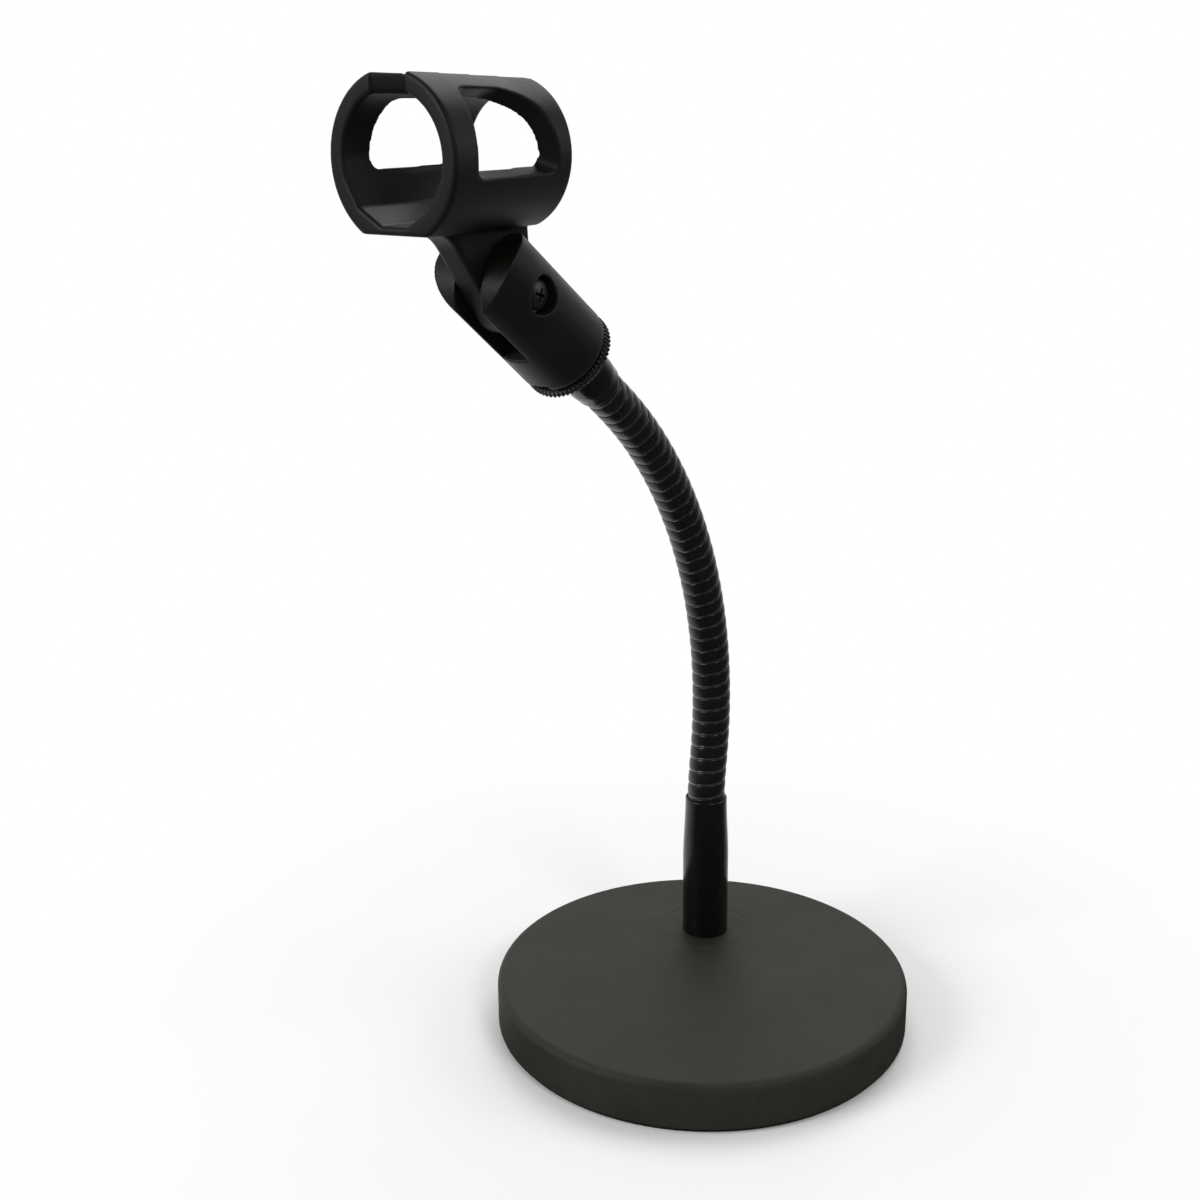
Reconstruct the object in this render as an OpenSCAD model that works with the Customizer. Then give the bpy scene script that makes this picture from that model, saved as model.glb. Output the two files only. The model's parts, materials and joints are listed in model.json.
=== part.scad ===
// Desktop microphone stand: a heavy round base, a short flexible gooseneck set behind its centre,
// and a split microphone holder that tilts in a slotted swivel on the neck's threaded end.
// Millimetres. The origin is the centre of the base on the surface it stands on, +Z is up, and the
// holder points along -Y. The gooseneck bends in the plane X = stem_x at rest.

/* [Base] */
// Diameter of the round base
base_d = 130; // [110:1:180]
// Height of the base, foot pad included
base_h = 16; // [12:0.5:24]
// Rounding of the base's upper edge
base_edge_r = 2.5; // [1:0.25:4]
// Rounding of the base's lower edge
base_lower_r = 1; // [0.5:0.25:1.5]
// Distance of the stem from the base's centre
stem_offset = 27.9; // [0:0.1:40]
// Turn of that offset from the line opposite to the way the holder points
stem_turn = 31.6; // [0:0.1:90]

/* [Foot pad] */
// Thickness of the foot pad under the base
pad_t = 1.2; // [0.8:0.1:2]
// Width of bare metal left round the pad
pad_inset = 1.5; // [1:0.5:6]

/* [Stem fastening] */
// Diameter of the stem bolt's shank
stem_bolt_d = 8; // [6:0.5:8]
// Length of the stem bolt's shank
stem_bolt_len = 25; // [22:1:32]
// Width across the flats of the stem bolt's head
stem_bolt_af = 13; // [11:0.5:14]
// Height of the stem bolt's head
stem_bolt_head = 4; // [3:0.5:4]
// Diameter of the flat washer under that head
stem_washer_d = 17; // [15:0.5:20]
// Thickness of that flat washer
stem_washer_t = 1.6; // [1:0.1:1.8]
// Thickness of the split spring washer on it
lock_washer_t = 2; // [1.5:0.1:2.2]

/* [Lower ferrule] */
// Outside diameter of the lower ferrule
low_ferrule_d = 15; // [14.6:0.1:20]
// Height of the lower ferrule above the base
low_ferrule_len = 48; // [40:1:80]
// Length over which its upper end narrows towards the neck
low_swage_len = 22; // [5:1:30]
// Wall left at the rim of either ferrule, round the neck
rim_wall = 0.6; // [0.4:0.05:0.8]

/* [Gooseneck] */
// Length of the bare gooseneck between the two ferrules
neck_len = 162.5; // [130:0.5:220]
// Outside diameter of the gooseneck
neck_d = 12.2; // [10:0.1:12.4]
// Distance from one turn of wire to the next
coil_pitch = 4.276; // [4:0.002:5]
// Width of the outer wire's face
wire_face = 2.3; // [2:0.05:2.4]
// Diameter of the round inner wire
spring_wire_d = 1.8; // [1.4:0.1:1.9]
// Turns of wire held inside each ferrule
seated_turns = 2; // [1:1:3]
// Backward lean of the neck just above the lower ferrule, at rest
bow_back = 13.7; // [0:0.1:20]
// Forward lean of the neck's upper end, at rest
head_tilt = 52; // [20:1:60]
// Length over which the neck leaves the vertical
settle_len = 14; // [8:1:30]
// Length of the neck that stays straight below the upper ferrule
straight_len = 8; // [0:1:20]

/* [Upper ferrule] */
// Outside diameter of the upper ferrule
top_ferrule_d = 14.4; // [14.4:0.1:15.4]
// Length of the upper ferrule
top_ferrule_len = 15.5; // [13.5:0.1:20]
// Length over which it narrows towards the neck
top_swage_len = 5; // [2:0.5:8]
// Outside diameter of the male thread on top of it
stud_d = 15.8; // [15.6:0.1:16]
// Length of that thread
stud_len = 11; // [9:0.5:12]

/* [Thread adaptor] */
// Diameter of the knurled flange
flange_d = 26; // [24:0.5:30]
// Thickness of the knurled flange
flange_t = 2.4; // [1.5:0.1:4]
// Ridges round the knurl
knurl_count = 60; // [40:1:80]
// Depth of the knurl
knurl_depth = 0.35; // [0.2:0.05:0.5]
// Outside diameter of the adaptor's sleeve
sleeve_d = 19; // [18:0.1:20]
// Length of the adaptor's sleeve above the flange
sleeve_len = 11.5; // [11:0.5:12]

/* [Swivel] */
// Diameter of the swivel's barrel at its lower end
barrel_low_d = 26; // [25.5:0.1:28]
// Diameter of the swivel's barrel at the ears
barrel_top_d = 25.4; // [25:0.1:26]
// Rounding of the barrel's lower edge
barrel_low_r = 2.5; // [1:0.25:3]
// Height of the pivot above the flange
pivot_rise = 29; // [28:0.5:36]
// Radius of the ears' round ends, about the pivot
ear_r = 15.2; // [14:0.1:15.4]
// Depth of the slot below the pivot
slot_depth = 12.8; // [12.5:0.1:14]
// Width of the moulding notch in the lower edge
notch_w = 5; // [3:0.5:7]
// Height of the moulding notch
notch_h = 3.4; // [2:0.2:4]

/* [Pivot screw] */
// Diameter of the pivot screw's shank
screw_d = 4; // [3:0.5:4.5]
// Diameter of its pan head
screw_head_d = 8; // [7:0.25:8.5]
// Height of its pan head
screw_head_h = 2.6; // [2:0.1:3]
// Diameter of the recess for that head
head_recess_d = 10; // [9.5:0.25:11]
// Thickness of plastic between the slot and that recess
ear_web = 3.9; // [3:0.1:4.5]
// Thickness of the washer under the head
screw_washer_t = 0.6; // [0.4:0.1:1]
// Width across the flats of the pivot nut
nut_af = 7; // [6:0.5:7.5]
// Thickness of the pivot nut
nut_t = 3.2; // [2.4:0.1:3.4]

/* [Microphone holder] */
// Radius of the microphone that the holder grips
grip_r = 15.7; // [14:0.1:17]
// Length of the straight grip at the holder's mouth
grip_len = 8; // [5:0.5:10]
// Radius of the bore at the holder's rear
rear_bore_r = 14.6; // [13:0.1:15]
// Wall of the holder at its mouth
mouth_wall = 4.6; // [4:0.1:5.5]
// Wall of the holder at its rear
rear_wall = 4.2; // [4:0.1:5]
// Length of the holder
holder_len = 44.2; // [40:0.1:60]
// Width of the slit along the top
slit_w = 11; // [6:0.5:14]
// Height of the holder's axis above the pivot
holder_rise = 34.1; // [32:0.1:40]
// Distance of the holder's rear end in front of the pivot, negative when behind it
holder_set = -4.4; // [-5:0.1:2]
// Height of the flat underside above the pivot
underside_rise = 16.8; // [15.5:0.1:17]
// Thickness of the tongue between the ears
tongue_t = 8; // [6:0.1:9]
// Radius of the tongue's round tip
tongue_tip_r = 10.4; // [10:0.1:11.5]
// Half of the tongue's width at the pivot
tongue_half = 7.7; // [7:0.1:9]
// Distance from the mouth to the side windows
window_set = 8.5; // [7:0.5:10]
// Distance from the side windows to the rear end
window_end = 5.5; // [4:0.5:8]
// Height of the windows above the holder's axis
window_up = 14; // [10:0.5:14]
// Depth of the windows below the holder's axis
window_down = 4.5; // [4:0.5:9]

/* [Clearances] */
// Radial clearance of a turning thread or pin
running_fit = 0.05; // [0.02:0.01:0.1]
// Gap on each side of the tongue
tongue_gap = 0.15; // [0.1:0.05:0.3]
// Gap between fixed pieces that slip together
slip_fit = 0.05; // [0.02:0.01:0.1]
// Radial clearance of a bolt in a plain hole
bolt_gap = 0.25; // [0.1:0.05:0.5]
// Gap between the turning flange and the ferrule under it
flange_gap = 0.3; // [0.2:0.05:0.5]

/* [Hidden] */
$fn = 64;
stem_x = -stem_offset * sin(stem_turn);
stem_y = stem_offset * cos(stem_turn);

// Stem fastening, from the underside of the base upwards
washer_room = 1;
head_sink = 0.4;
bolt_recess_r = stem_washer_d / 2 + washer_room;
bolt_recess_top = pad_t + head_sink + stem_bolt_head + lock_washer_t + stem_washer_t;
washer_z = bolt_recess_top - stem_washer_t;
lock_z = washer_z - lock_washer_t;
bolt_reach = lock_z + stem_bolt_len - base_h;

// Gooseneck: the turns are counted, and the bending joints lie between turns
neck_joints = 8;
turns = round(neck_len / coil_pitch);
half_pitch = coil_pitch / 2;
neck_base_z = base_h + low_ferrule_len;
neck_r = neck_d / 2;
band_t = 1.9;
wedge_t = 1.1;
wedge_in = 0.4;
band_edge = 0.35;
spring_gap = 0.4;
seat_room = 1;
band_in_r = neck_r - band_t;
wedge_r = neck_r - wedge_t;
spring_r = band_in_r - spring_gap - spring_wire_d / 2;
seat_len = seated_turns * coil_pitch + seat_room;
ferrule_bore_r = neck_r + slip_fit;
rim_r = ferrule_bore_r + rim_wall;

// Lean of the neck at the distance s along it from the lower ferrule
function neck_lean(s) =
    s < 0 ? 0 :
    s > neck_len ? head_tilt :
    min(1, s / settle_len) * (-bow_back + (head_tilt + bow_back) * min(1, s / (neck_len - straight_len)));

// Points [y, z] of the neck's centreline, one for every half turn
line = [for (i = 0, y = 0, z = neck_base_z; i <= 2 * turns; i = i + 1,
        y = y - half_pitch * sin(neck_lean((i - 0.5) * half_pitch)),
        z = z + half_pitch * cos(neck_lean((i - 0.5) * half_pitch))) [y, z]];
neck_end = line[2 * turns];

// The first turn above each joint; group k holds the turns from joint k to joint k + 1
function joint_turn(k) = round(k * turns / (neck_joints + 1));
function first_turn(k) = k == 0 ? -seated_turns : joint_turn(k);
function last_turn(k) = k == neck_joints ? turns + seated_turns - 1 : joint_turn(k + 1) - 1;

// Heights along the neck's upper axis, counted from the neck's end
flange_z = top_ferrule_len + flange_gap;
barrel_z = flange_z + flange_t;
pivot_z = barrel_z + pivot_rise;
barrel_len = pivot_rise + ear_r;
stud_seat_z = seat_len;
slot_half = tongue_t / 2 + tongue_gap;
head_seat_x = slot_half + ear_web;
stud_r = stud_d / 2;

// Microphone holder
mouth_r = grip_r + mouth_wall;
rear_r = rear_bore_r + rear_wall;

// Puts a piece on the stem's axis
module at_stem() {
    translate([stem_x, stem_y, 0]) children();
}

// Puts a piece on the neck's centreline, i half turns above the lower ferrule
module at_neck(i) {
    over = max(0, i - 2 * turns);
    p = line[min(max(i, 0), 2 * turns)];
    under = min(0, i);
    at_stem()
        translate([0, p[0], p[1]])
            rotate([neck_lean(i * half_pitch), 0, 0])
                translate([0, 0, (under + over) * half_pitch]) children();
}

// Puts a piece on the axis of the neck's upper end, with Z along it
module at_head() {
    at_stem()
        translate([0, neck_end[0], neck_end[1]])
            rotate([head_tilt, 0, 0]) children();
}

// Puts a piece at the pivot, level, with Y pointing backwards
module at_pivot() {
    at_stem()
        translate([0, neck_end[0] - pivot_z * sin(head_tilt), neck_end[1] + pivot_z * cos(head_tilt)])
            children();
}

// A ring from radius a to radius b and height h
module ring(a, b, h) {
    difference() {
        cylinder(r = b, h = h);
        translate([0, 0, -1]) cylinder(r = a, h = h + 2);
    }
}

// A rectangle from the axis to radius r, with its lower and upper outer corners rounded
module rounded_half(r, h, low_r, up_r) {
    square([r - max(low_r, up_r), h]);
    translate([0, low_r]) square([r, h - low_r - up_r]);
    translate([r - low_r, low_r]) circle(r = low_r);
    translate([r - up_r, h - up_r]) circle(r = up_r);
    if (low_r != up_r)
        translate([0, low_r < up_r ? 0 : h / 2]) square([r - min(low_r, up_r), h / 2]);
}

// A Y-directed prism's outline laid in the vertical plane: X becomes forwards, Y becomes up
module side_extrude(t) {
    rotate([90, 0, -90]) translate([0, 0, -t / 2]) linear_extrude(t) children();
}

module base_casting() {
    body_h = base_h - pad_t;
    color("#26272a")
    difference() {
        translate([0, 0, pad_t])
            rotate_extrude($fn = 128) rounded_half(base_d / 2, body_h, base_lower_r, base_edge_r);
        at_stem() {
            cylinder(r = stem_bolt_d / 2 + bolt_gap, h = base_h + 1);
            cylinder(r = bolt_recess_r, h = bolt_recess_top);
        }
    }
}

module foot_pad() {
    color("#1b1b1c")
    difference() {
        cylinder(r = base_d / 2 - pad_inset, h = pad_t, $fn = 128);
        at_stem() translate([0, 0, -1]) cylinder(r = bolt_recess_r, h = pad_t + 2);
    }
}

module stem_bolt() {
    head_r = stem_bolt_af / sqrt(3);
    color("#8d8f92")
    at_stem() translate([0, 0, lock_z]) {
        translate([0, 0, -stem_bolt_head]) cylinder(r = head_r, h = stem_bolt_head, $fn = 6);
        cylinder(r = stem_bolt_d / 2, h = stem_bolt_len);
    }
}

module stem_washer() {
    color("#a2a4a6")
    at_stem() translate([0, 0, washer_z])
        ring(stem_bolt_d / 2 + bolt_gap, stem_washer_d / 2, stem_washer_t);
}

module stem_lock_washer() {
    brim = 0.5;
    outer_r = stem_bolt_af / 2 + brim;
    split_w = 1.2;
    color("#77797c")
    at_stem() translate([0, 0, lock_z])
        difference() {
            ring(stem_bolt_d / 2 + bolt_gap, outer_r, lock_washer_t);
            translate([0, -split_w / 2, -1]) cube([outer_r + 1, split_w, lock_washer_t + 2]);
        }
}

// Outline of a ferrule of outer radius r and length len, narrowed at its upper end over swage
module ferrule_half(r, len, swage) {
    edge = 0.3;
    polygon([[0, 0], [r - edge, 0], [r, edge], [r, len - swage], [rim_r, len - edge],
        [rim_r - edge, len], [0, len]]);
}

module lower_ferrule() {
    color("#101114")
    at_stem() translate([0, 0, base_h])
        difference() {
            rotate_extrude() ferrule_half(low_ferrule_d / 2, low_ferrule_len, low_swage_len);
            translate([0, 0, low_ferrule_len - seat_len]) cylinder(r = ferrule_bore_r, h = seat_len + 1);
            translate([0, 0, -1]) cylinder(r = stem_bolt_d / 2 + slip_fit, h = bolt_reach + 2);
        }
}

// One turn of the outer wire: a flat band outside and a wedge towards the axis
module band_half() {
    half = wire_face / 2;
    polygon([[band_in_r, -half + wedge_in], [wedge_r, -half], [neck_r - band_edge, -half],
        [neck_r, -half + band_edge], [neck_r, half - band_edge], [neck_r - band_edge, half],
        [wedge_r, half], [band_in_r, half - wedge_in]]);
}

// The turns of outer wire in group k
module outer_wire(k) {
    color("#0d0e10")
    for (j = [first_turn(k) : last_turn(k)])
        at_neck(2 * j + 1) rotate_extrude() band_half();
}

// The turns of round inner wire in group k
module inner_spring(k) {
    color("#2b2c2f")
    for (j = [first_turn(k) : last_turn(k)])
        at_neck(2 * j + 1)
            rotate_extrude() translate([spring_r, 0]) circle(d = spring_wire_d, $fn = 24);
}

module upper_ferrule() {
    color("#101114")
    at_head()
        difference() {
            translate([0, 0, top_ferrule_len]) mirror([0, 0, 1])
                rotate_extrude() ferrule_half(top_ferrule_d / 2, top_ferrule_len, top_swage_len);
            translate([0, 0, -1]) cylinder(r = ferrule_bore_r, h = top_ferrule_len + 2);
        }
}

// The male thread, with a plug that is fixed in the upper ferrule
module threaded_stud() {
    relief = 0.6;
    color("#3a3b3e")
    at_head() {
        translate([0, 0, stud_seat_z])
            cylinder(r = ferrule_bore_r - slip_fit, h = top_ferrule_len - stud_seat_z);
        translate([0, 0, top_ferrule_len]) cylinder(r = stud_r - relief, h = flange_gap);
        translate([0, 0, flange_z]) cylinder(r = stud_r, h = stud_len);
        translate([0, 0, flange_z + stud_len]) cylinder(r1 = stud_r, r2 = stud_r - relief, h = relief);
    }
}

// The threaded bush in the swivel, with the knurled flange that turns it
module thread_adaptor() {
    step = 360 / knurl_count;
    r = flange_d / 2;
    color("#1d1e20")
    at_head() translate([0, 0, flange_z])
        difference() {
            union() {
                linear_extrude(flange_t)
                    polygon([for (i = [0 : knurl_count - 1])
                        for (a = [[0, r - knurl_depth], [0.25, r], [0.5, r], [0.75, r - knurl_depth]])
                            a[1] * [cos((i + a[0]) * step), sin((i + a[0]) * step)]]);
                cylinder(d = sleeve_d, h = flange_t + sleeve_len);
            }
            translate([0, 0, -1]) cylinder(r = stud_r + running_fit, h = flange_t + sleeve_len + 2);
        }
}

// Outline of the swivel's barrel, from the flange to just above the ears
module barrel_half() {
    low = barrel_low_d / 2;
    top = barrel_top_d / 2;
    over = 1;
    polygon([[0, 0], [low - barrel_low_r, 0], [low, barrel_low_r], [top, barrel_len + over],
        [0, barrel_len + over]]);
    translate([low - barrel_low_r, barrel_low_r]) circle(r = barrel_low_r);
}

module swivel_body() {
    wide = barrel_low_d;
    sleeve_room = 0.2;
    notch_web = 1.2;
    color("#232426")
    at_head() translate([0, 0, barrel_z])
        difference() {
            intersection() {
                rotate_extrude() barrel_half();
                union() {
                    cylinder(d = wide + 2, h = pivot_rise);
                    translate([0, 0, pivot_rise]) rotate([0, 90, 0])
                        cylinder(r = ear_r, h = 2 * wide, center = true);
                }
            }
            translate([0, 0, -1]) cylinder(d = sleeve_d + 2 * slip_fit, h = sleeve_len + sleeve_room + 1);
            translate([-slot_half, -wide, pivot_rise - slot_depth])
                cube([2 * slot_half, 2 * wide, barrel_len]);
            translate([-notch_w / 2, -wide, -1])
                cube([notch_w, wide - sleeve_d / 2 - notch_web, notch_h + 1]);
            translate([0, 0, pivot_rise]) {
                rotate([0, 90, 0]) cylinder(r = screw_d / 2 + running_fit, h = 2 * wide, center = true);
                translate([head_seat_x, 0, 0]) rotate([0, 90, 0]) cylinder(d = head_recess_d, h = wide);
                translate([-head_seat_x, 0, 0]) rotate([0, -90, 0])
                    cylinder(r = nut_af / sqrt(3) + slip_fit, h = wide, $fn = 6);
            }
        }
}

// The pivot screw: a pan head with a crossed recess, and a plain shank for its thread
module pivot_screw() {
    tip = 0.6;
    shank_len = 2 * head_seat_x + screw_washer_t + nut_t + tip;
    cross_turn = 20;
    cross_w = 1;
    cross_len = 4.4;
    cross_depth = 1.5;
    crown = 0.7;
    color("#1a1b1c")
    at_head() translate([head_seat_x + screw_washer_t, 0, pivot_z]) rotate([0, 90, 0])
        difference() {
            union() {
                translate([0, 0, -shank_len]) cylinder(d = screw_d, h = shank_len);
                cylinder(d = screw_head_d, h = screw_head_h - crown);
                translate([0, 0, screw_head_h - crown])
                    cylinder(d1 = screw_head_d, d2 = screw_head_d - 2 * crown, h = crown);
            }
            for (a = [0, 90])
                rotate([0, 0, a + cross_turn])
                    translate([-cross_len / 2, -cross_w / 2, screw_head_h - cross_depth])
                        cube([cross_len, cross_w, cross_depth + 1]);
        }
}

module pivot_washer() {
    brim = 0.5;
    color("#5a5c5f")
    at_head() translate([head_seat_x, 0, pivot_z]) rotate([0, 90, 0])
        ring(screw_d / 2 + bolt_gap, screw_head_d / 2 + brim, screw_washer_t);
}

module pivot_nut() {
    color("#5a5c5f")
    at_head() translate([-head_seat_x, 0, pivot_z]) rotate([0, -90, 0])
        difference() {
            cylinder(r = nut_af / sqrt(3), h = nut_t, $fn = 6);
            translate([0, 0, -1]) cylinder(r = screw_d / 2 + slip_fit, h = nut_t + 2);
        }
}

// Outline of the tongue seen from the side: X forwards and Y up from the pivot. Its straight front
// leaves the round tip, and an arc carries it into the holder's underside.
module tongue_outline() {
    front_slope = 54;
    root_r = 12;
    sink = 2;
    heel_in = 2.5;
    tuck = 0.05;
    top = underside_rise + sink;
    root_z = underside_rise - root_r;
    root_x = (tongue_tip_r + root_r + root_z * cos(front_slope)) / sin(front_slope);
    outward = [sin(front_slope), -cos(front_slope)];
    difference() {
        union() {
            intersection() {
                circle(r = tongue_tip_r);
                translate([-tongue_half, -tongue_tip_r]) square(2 * tongue_tip_r);
            }
            polygon([[-tongue_half, 0], (tongue_tip_r - tuck) * outward,
                [root_x, root_z] - (root_r - tuck) * outward, [root_x, root_z], [root_x, top],
                [holder_set, top], [-tongue_half + heel_in, tongue_half]]);
        }
        translate([root_x, root_z]) circle(r = root_r);
    }
}

// Outline of a side window: X backwards from the mouth and Y up from the holder's axis
module window_outline() {
    long = holder_len - window_set - window_end;
    small_r = 2.5;
    big_r = 10;
    translate([window_set, -window_down])
        union() {
            translate([small_r, 0]) square([long - 2 * small_r, window_down + window_up - big_r]);
            translate([0, small_r]) square([long, window_down + window_up - big_r - small_r]);
            translate([small_r, small_r]) square([long - small_r - big_r, window_down + window_up - small_r]);
            translate([0, small_r]) square([long - big_r, window_down + window_up - 2 * small_r]);
            for (x = [small_r, long - small_r]) translate([x, small_r]) circle(r = small_r);
            translate([small_r, window_down + window_up - small_r]) circle(r = small_r);
            translate([long - big_r, window_down + window_up - big_r]) circle(r = big_r);
        }
}

module microphone_holder() {
    front_y = -(holder_set + holder_len);
    wide = 2 * mouth_r;
    mouth_flat = 9;
    color("#28292b")
    at_pivot()
        difference() {
            union() {
                translate([0, front_y, holder_rise]) rotate([-90, 0, 0])
                    cylinder(r1 = mouth_r, r2 = rear_r, h = holder_len);
                side_extrude(tongue_t) tongue_outline();
            }
            // straight grip at the mouth, then the tapered bore behind it
            translate([0, front_y - 1, holder_rise]) rotate([-90, 0, 0])
                cylinder(r = grip_r, h = grip_len + 1);
            translate([0, front_y + grip_len, holder_rise]) rotate([-90, 0, 0])
                cylinder(r1 = grip_r, r2 = rear_bore_r, h = holder_len - grip_len);
            translate([0, front_y + holder_len - 1, holder_rise]) rotate([-90, 0, 0])
                cylinder(r = rear_bore_r, h = 3);
            // slit along the top
            translate([-slit_w / 2, front_y - 1, holder_rise]) cube([slit_w, holder_len + 2, wide]);
            // flat underside, outside the tongue
            for (side = [0, 1]) mirror([side, 0, 0])
                translate([tongue_t / 2, front_y - 1, underside_rise - wide])
                    cube([wide, holder_len + 2, wide]);
            translate([-tongue_t, front_y - 1, underside_rise - wide])
                cube([2 * tongue_t, mouth_flat + 1, wide]);
            // side windows
            translate([0, front_y, holder_rise]) rotate([90, 0, 90])
                translate([0, 0, -wide]) linear_extrude(2 * wide) window_outline();
            // pivot bore
            rotate([0, 90, 0]) cylinder(r = screw_d / 2 + running_fit, h = 2 * tongue_t, center = true);
        }
}

base_casting();
foot_pad();
stem_bolt();
stem_washer();
stem_lock_washer();
lower_ferrule();
outer_wire(0);  // outer_wire_1
outer_wire(1);  // outer_wire_2
outer_wire(2);  // outer_wire_3
outer_wire(3);  // outer_wire_4
outer_wire(4);  // outer_wire_5
outer_wire(5);  // outer_wire_6
outer_wire(6);  // outer_wire_7
outer_wire(7);  // outer_wire_8
outer_wire(8);  // outer_wire_9
inner_spring(0);  // inner_spring_1
inner_spring(1);  // inner_spring_2
inner_spring(2);  // inner_spring_3
inner_spring(3);  // inner_spring_4
inner_spring(4);  // inner_spring_5
inner_spring(5);  // inner_spring_6
inner_spring(6);  // inner_spring_7
inner_spring(7);  // inner_spring_8
inner_spring(8);  // inner_spring_9
upper_ferrule();
threaded_stud();
thread_adaptor();
swivel_body();
pivot_screw();
pivot_washer();
pivot_nut();
microphone_holder();
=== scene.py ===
import json
from math import acos, atan2, cos, degrees, pi, radians, sin, sqrt, tau

import bmesh
import bpy
import numpy as np
from mathutils import Matrix, Vector


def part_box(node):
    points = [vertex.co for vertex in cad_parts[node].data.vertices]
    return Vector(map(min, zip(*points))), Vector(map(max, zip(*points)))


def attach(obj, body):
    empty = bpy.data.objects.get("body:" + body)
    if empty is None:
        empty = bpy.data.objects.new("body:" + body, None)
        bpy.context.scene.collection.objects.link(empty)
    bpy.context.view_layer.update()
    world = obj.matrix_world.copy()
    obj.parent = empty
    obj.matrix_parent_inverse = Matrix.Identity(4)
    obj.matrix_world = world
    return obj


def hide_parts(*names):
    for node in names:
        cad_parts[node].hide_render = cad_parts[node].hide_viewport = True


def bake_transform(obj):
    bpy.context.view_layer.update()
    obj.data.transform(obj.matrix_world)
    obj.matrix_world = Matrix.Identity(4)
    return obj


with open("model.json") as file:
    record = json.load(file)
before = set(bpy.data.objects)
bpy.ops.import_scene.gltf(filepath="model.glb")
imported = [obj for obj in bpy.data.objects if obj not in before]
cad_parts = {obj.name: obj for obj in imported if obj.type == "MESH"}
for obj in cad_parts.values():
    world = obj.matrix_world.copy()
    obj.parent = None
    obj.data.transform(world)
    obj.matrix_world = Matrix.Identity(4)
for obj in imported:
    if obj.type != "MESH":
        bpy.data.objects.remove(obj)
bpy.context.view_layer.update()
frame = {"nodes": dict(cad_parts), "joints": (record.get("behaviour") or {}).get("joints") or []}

mm = 0.001


# ---- Base casting ---------------------------------------------------------------------------
# A heavy round iron casting with a turned edge, in a matt charcoal powder coat. The stem stands
# behind its centre on a faint turned ring, and is bolted up through it from a recess below.

def arc(x, z, r, start, end, steps=8):
    """Points of an arc round (x, z), from one angle in degrees to another."""
    turns = [radians(start + (end - start) * i / steps) for i in range(steps + 1)]
    return [(x + r * cos(a), z + r * sin(a)) for a in turns]


def turned(bm, outline, centre=(0, 0), steps=192):
    """Spins an open outline of (radius, height) points round the vertical through centre."""
    verts = [bm.verts.new((centre[0] + r, centre[1], z)) for r, z in outline]
    edges = [bm.edges.new(pair) for pair in zip(verts, verts[1:])]
    bmesh.ops.spin(bm, geom=verts + edges, cent=(*centre, 0), axis=(0, 0, 1), angle=tau,
                   steps=steps, use_merge=True)


def made(bm, name, place=Matrix(), sharp=35):
    """Makes bm an object laid in its place, smooth but for its sharp edges."""
    bmesh.ops.remove_doubles(bm, verts=bm.verts, dist=0.001 * mm)
    bmesh.ops.transform(bm, matrix=place, verts=bm.verts)
    bmesh.ops.recalc_face_normals(bm, faces=bm.faces)
    mesh = bpy.data.meshes.new(name)
    bm.to_mesh(mesh)
    bm.free()
    mesh.shade_smooth()
    mesh.set_sharp_from_angle(angle=radians(sharp))
    piece = bpy.data.objects.new(name, mesh)
    bpy.context.scene.collection.objects.link(piece)
    return piece


def add(tree, kind, sockets={}, **settings):
    """Adds a shader node, with its settings and what its sockets hold or link to."""
    new = tree.nodes.new("ShaderNode" + kind)
    for name, value in settings.items():
        setattr(new, name, value)
    for name, value in sockets.items():
        if isinstance(value, bpy.types.NodeSocket):
            tree.links.new(value, new.inputs[name])
        else:
            new.inputs[name].default_value = value
    return new


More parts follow.
